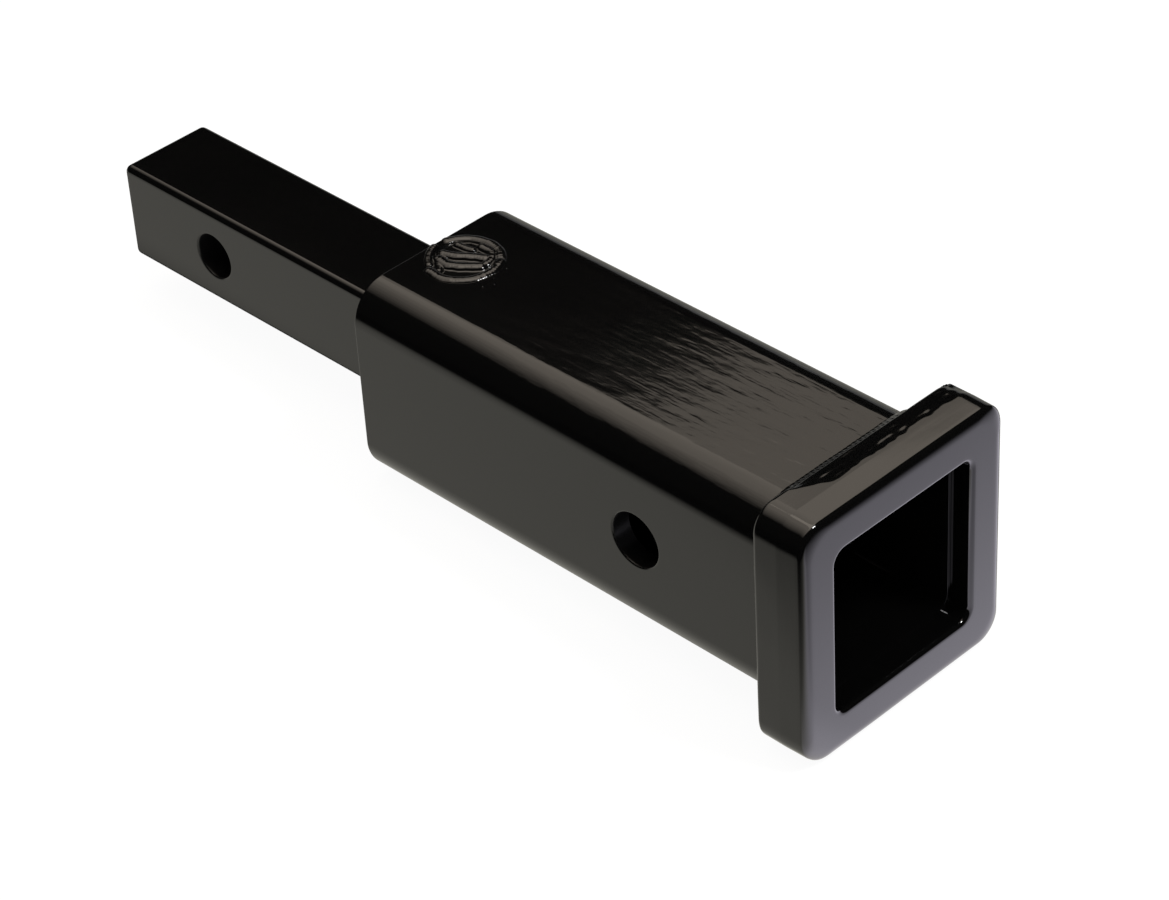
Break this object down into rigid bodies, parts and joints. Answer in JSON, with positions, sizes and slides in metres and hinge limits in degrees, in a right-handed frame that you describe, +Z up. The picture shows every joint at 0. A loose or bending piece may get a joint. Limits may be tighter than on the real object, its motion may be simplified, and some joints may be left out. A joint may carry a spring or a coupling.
{
  "type": "hitch receiver adapter",
  "caption": "Welded steel adapter: a solid square shank at one end and a larger square receiver socket with a collared mouth at the other, each end cross-drilled for a pin.",
  "frame": {"origin": "where the receiver pin's axis crosses the tube's axis", "axes": "+X along the tube and out of its mouth, +Y along the receiver pin, +Z up through the side with the plug weld"},
  "size_m": [0.296, 0.0786, 0.0786],
  "materials": {
    "powder_coat": "gloss black powder coat over steel",
    "coated_weld": "gloss black powder coat over rippled weld metal"
  },
  "bodies": {
    "root": {"receiver_tube": "powder_coat", "mouth_collar": "powder_coat", "shank_bar": "powder_coat", "packing_bar_top": "powder_coat", "packing_bar_near": "powder_coat", "packing_bar_bottom": "powder_coat", "packing_bar_far": "powder_coat", "plug_weld_top": "coated_weld", "plug_weld_bottom": "coated_weld", "collar_weld": "coated_weld", "shank_weld": "coated_weld"}
  },
  "joints": []
}
